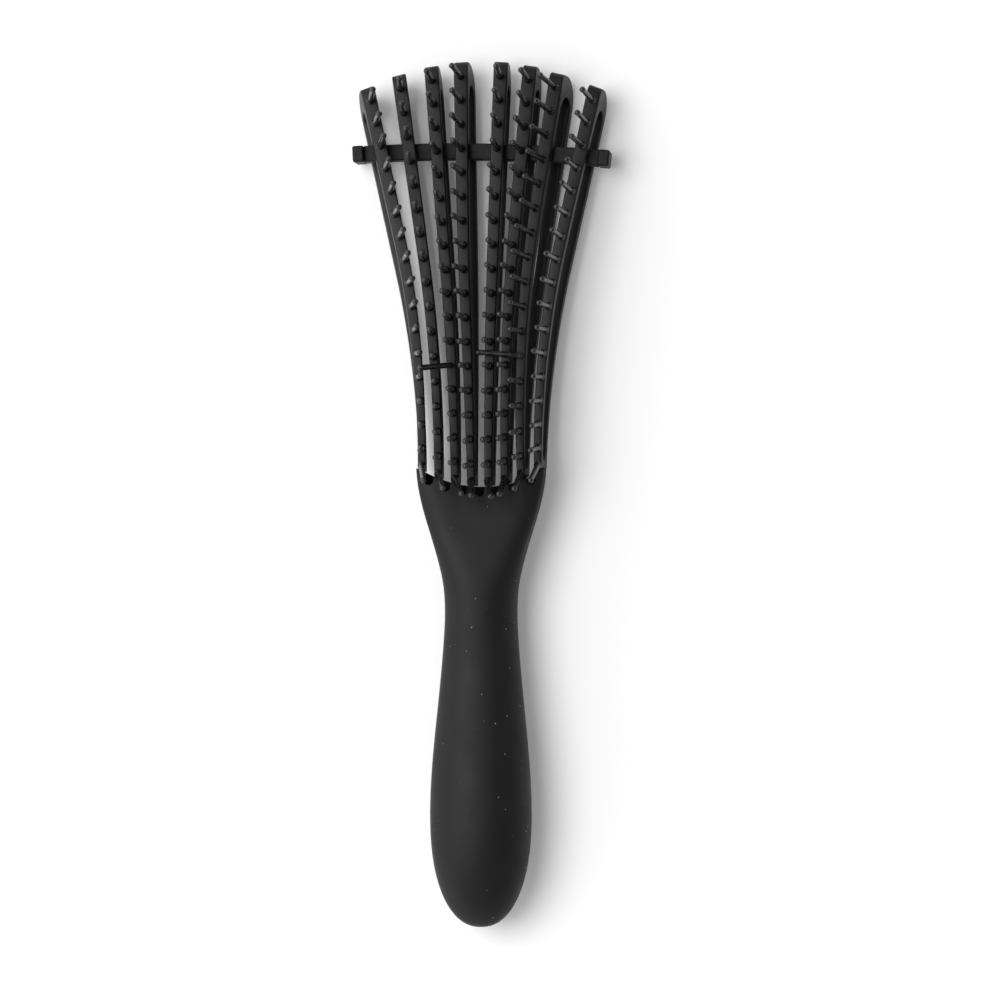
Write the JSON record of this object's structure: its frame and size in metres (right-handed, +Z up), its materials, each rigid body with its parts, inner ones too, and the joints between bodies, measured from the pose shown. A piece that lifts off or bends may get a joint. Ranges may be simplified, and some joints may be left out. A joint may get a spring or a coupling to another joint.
{
  "type": "detangling hair brush",
  "caption": "Fan-shaped detangling brush: looped arms with ball-tipped pins flex sideways in the mouth of a hollow handle, joined by a bar that slides inside their loops.",
  "frame": {"origin": "on the surface that the brush lies on, under the middle of its length and width", "axes": "+Y along the handle towards the arm tips, +Z up, the way that the pins point, +X to the right seen from the pins"},
  "size_m": [0.0702, 0.235, 0.0306],
  "materials": {
    "handle": "soft-touch matt",
    "arm": "semi-matt moulded",
    "pin": "satin moulded",
    "bar": "semi-matt moulded"
  },
  "bodies": {
    "handle": {"handle_front_shell": "handle", "handle_rear_shell": "handle"},
    "arm_1": {"arm_1": "arm", "pins_1": "pin"},
    "arm_2": {"arm_2": "arm", "pins_2": "pin"},
    "arm_3": {"arm_3": "arm", "pins_3": "pin", "bent_pin_3": "pin"},
    "arm_4": {"arm_4": "arm", "pins_4": "pin"},
    "arm_5": {"arm_5": "arm", "pins_5": "pin"},
    "arm_6": {"arm_6": "arm", "pins_6": "pin"},
    "arm_7": {"arm_7": "arm", "pins_7": "pin", "bent_pin_7": "pin"},
    "arm_8": {"arm_8": "arm", "pins_8": "pin"},
    "bar": {"spreader_bar": "bar", "bar_cap_left": "bar", "bar_cap_right": "bar"}
  },
  "joints": [
    {"name": "arm_1_flex", "type": "hinge", "parent": "handle", "child": "arm_1", "pos_m": [-0.013, -0.00025, 0.01], "axis": [0, 0, 1], "range_deg": [-0.7, 0], "stiffness_Nm_per_rad": 0.3},
    {"name": "arm_2_flex", "type": "hinge", "parent": "handle", "child": "arm_2", "pos_m": [-0.00929, -0.0024, 0.01], "axis": [0, 0, 1], "range_deg": [-1, 0.7], "stiffness_Nm_per_rad": 0.3},
    {"name": "arm_3_flex", "type": "hinge", "parent": "handle", "child": "arm_3", "pos_m": [-0.00557, -0.00376, 0.01], "axis": [0, 0, 1], "range_deg": [-1, 1], "stiffness_Nm_per_rad": 0.3},
    {"name": "arm_4_flex", "type": "hinge", "parent": "handle", "child": "arm_4", "pos_m": [-0.00186, -0.00442, 0.01], "axis": [0, 0, 1], "range_deg": [-1.2, 0.4], "stiffness_Nm_per_rad": 0.3},
    {"name": "arm_5_flex", "type": "hinge", "parent": "handle", "child": "arm_5", "pos_m": [0.00186, -0.00442, 0.01], "axis": [0, 0, 1], "range_deg": [-0.35, 1.1], "stiffness_Nm_per_rad": 0.3},
    {"name": "arm_6_flex", "type": "hinge", "parent": "handle", "child": "arm_6", "pos_m": [0.00557, -0.00376, 0.01], "axis": [0, 0, 1], "range_deg": [-0.9, 1.1], "stiffness_Nm_per_rad": 0.3},
    {"name": "arm_7_flex", "type": "hinge", "parent": "handle", "child": "arm_7", "pos_m": [0.00929, -0.0024, 0.01], "axis": [0, 0, 1], "range_deg": [-1.5, 0], "stiffness_Nm_per_rad": 0.3},
    {"name": "arm_8_flex", "type": "hinge", "parent": "handle", "child": "arm_8", "pos_m": [0.013, -0.00025, 0.01], "axis": [0, 0, 1], "range_deg": [0, 1.1], "stiffness_Nm_per_rad": 0.3},
    {"name": "bar_slide", "type": "slide", "parent": "handle", "child": "bar", "axis": [0, 0.9988, -0.05], "range_m": [-0.05, 0]}
  ]
}
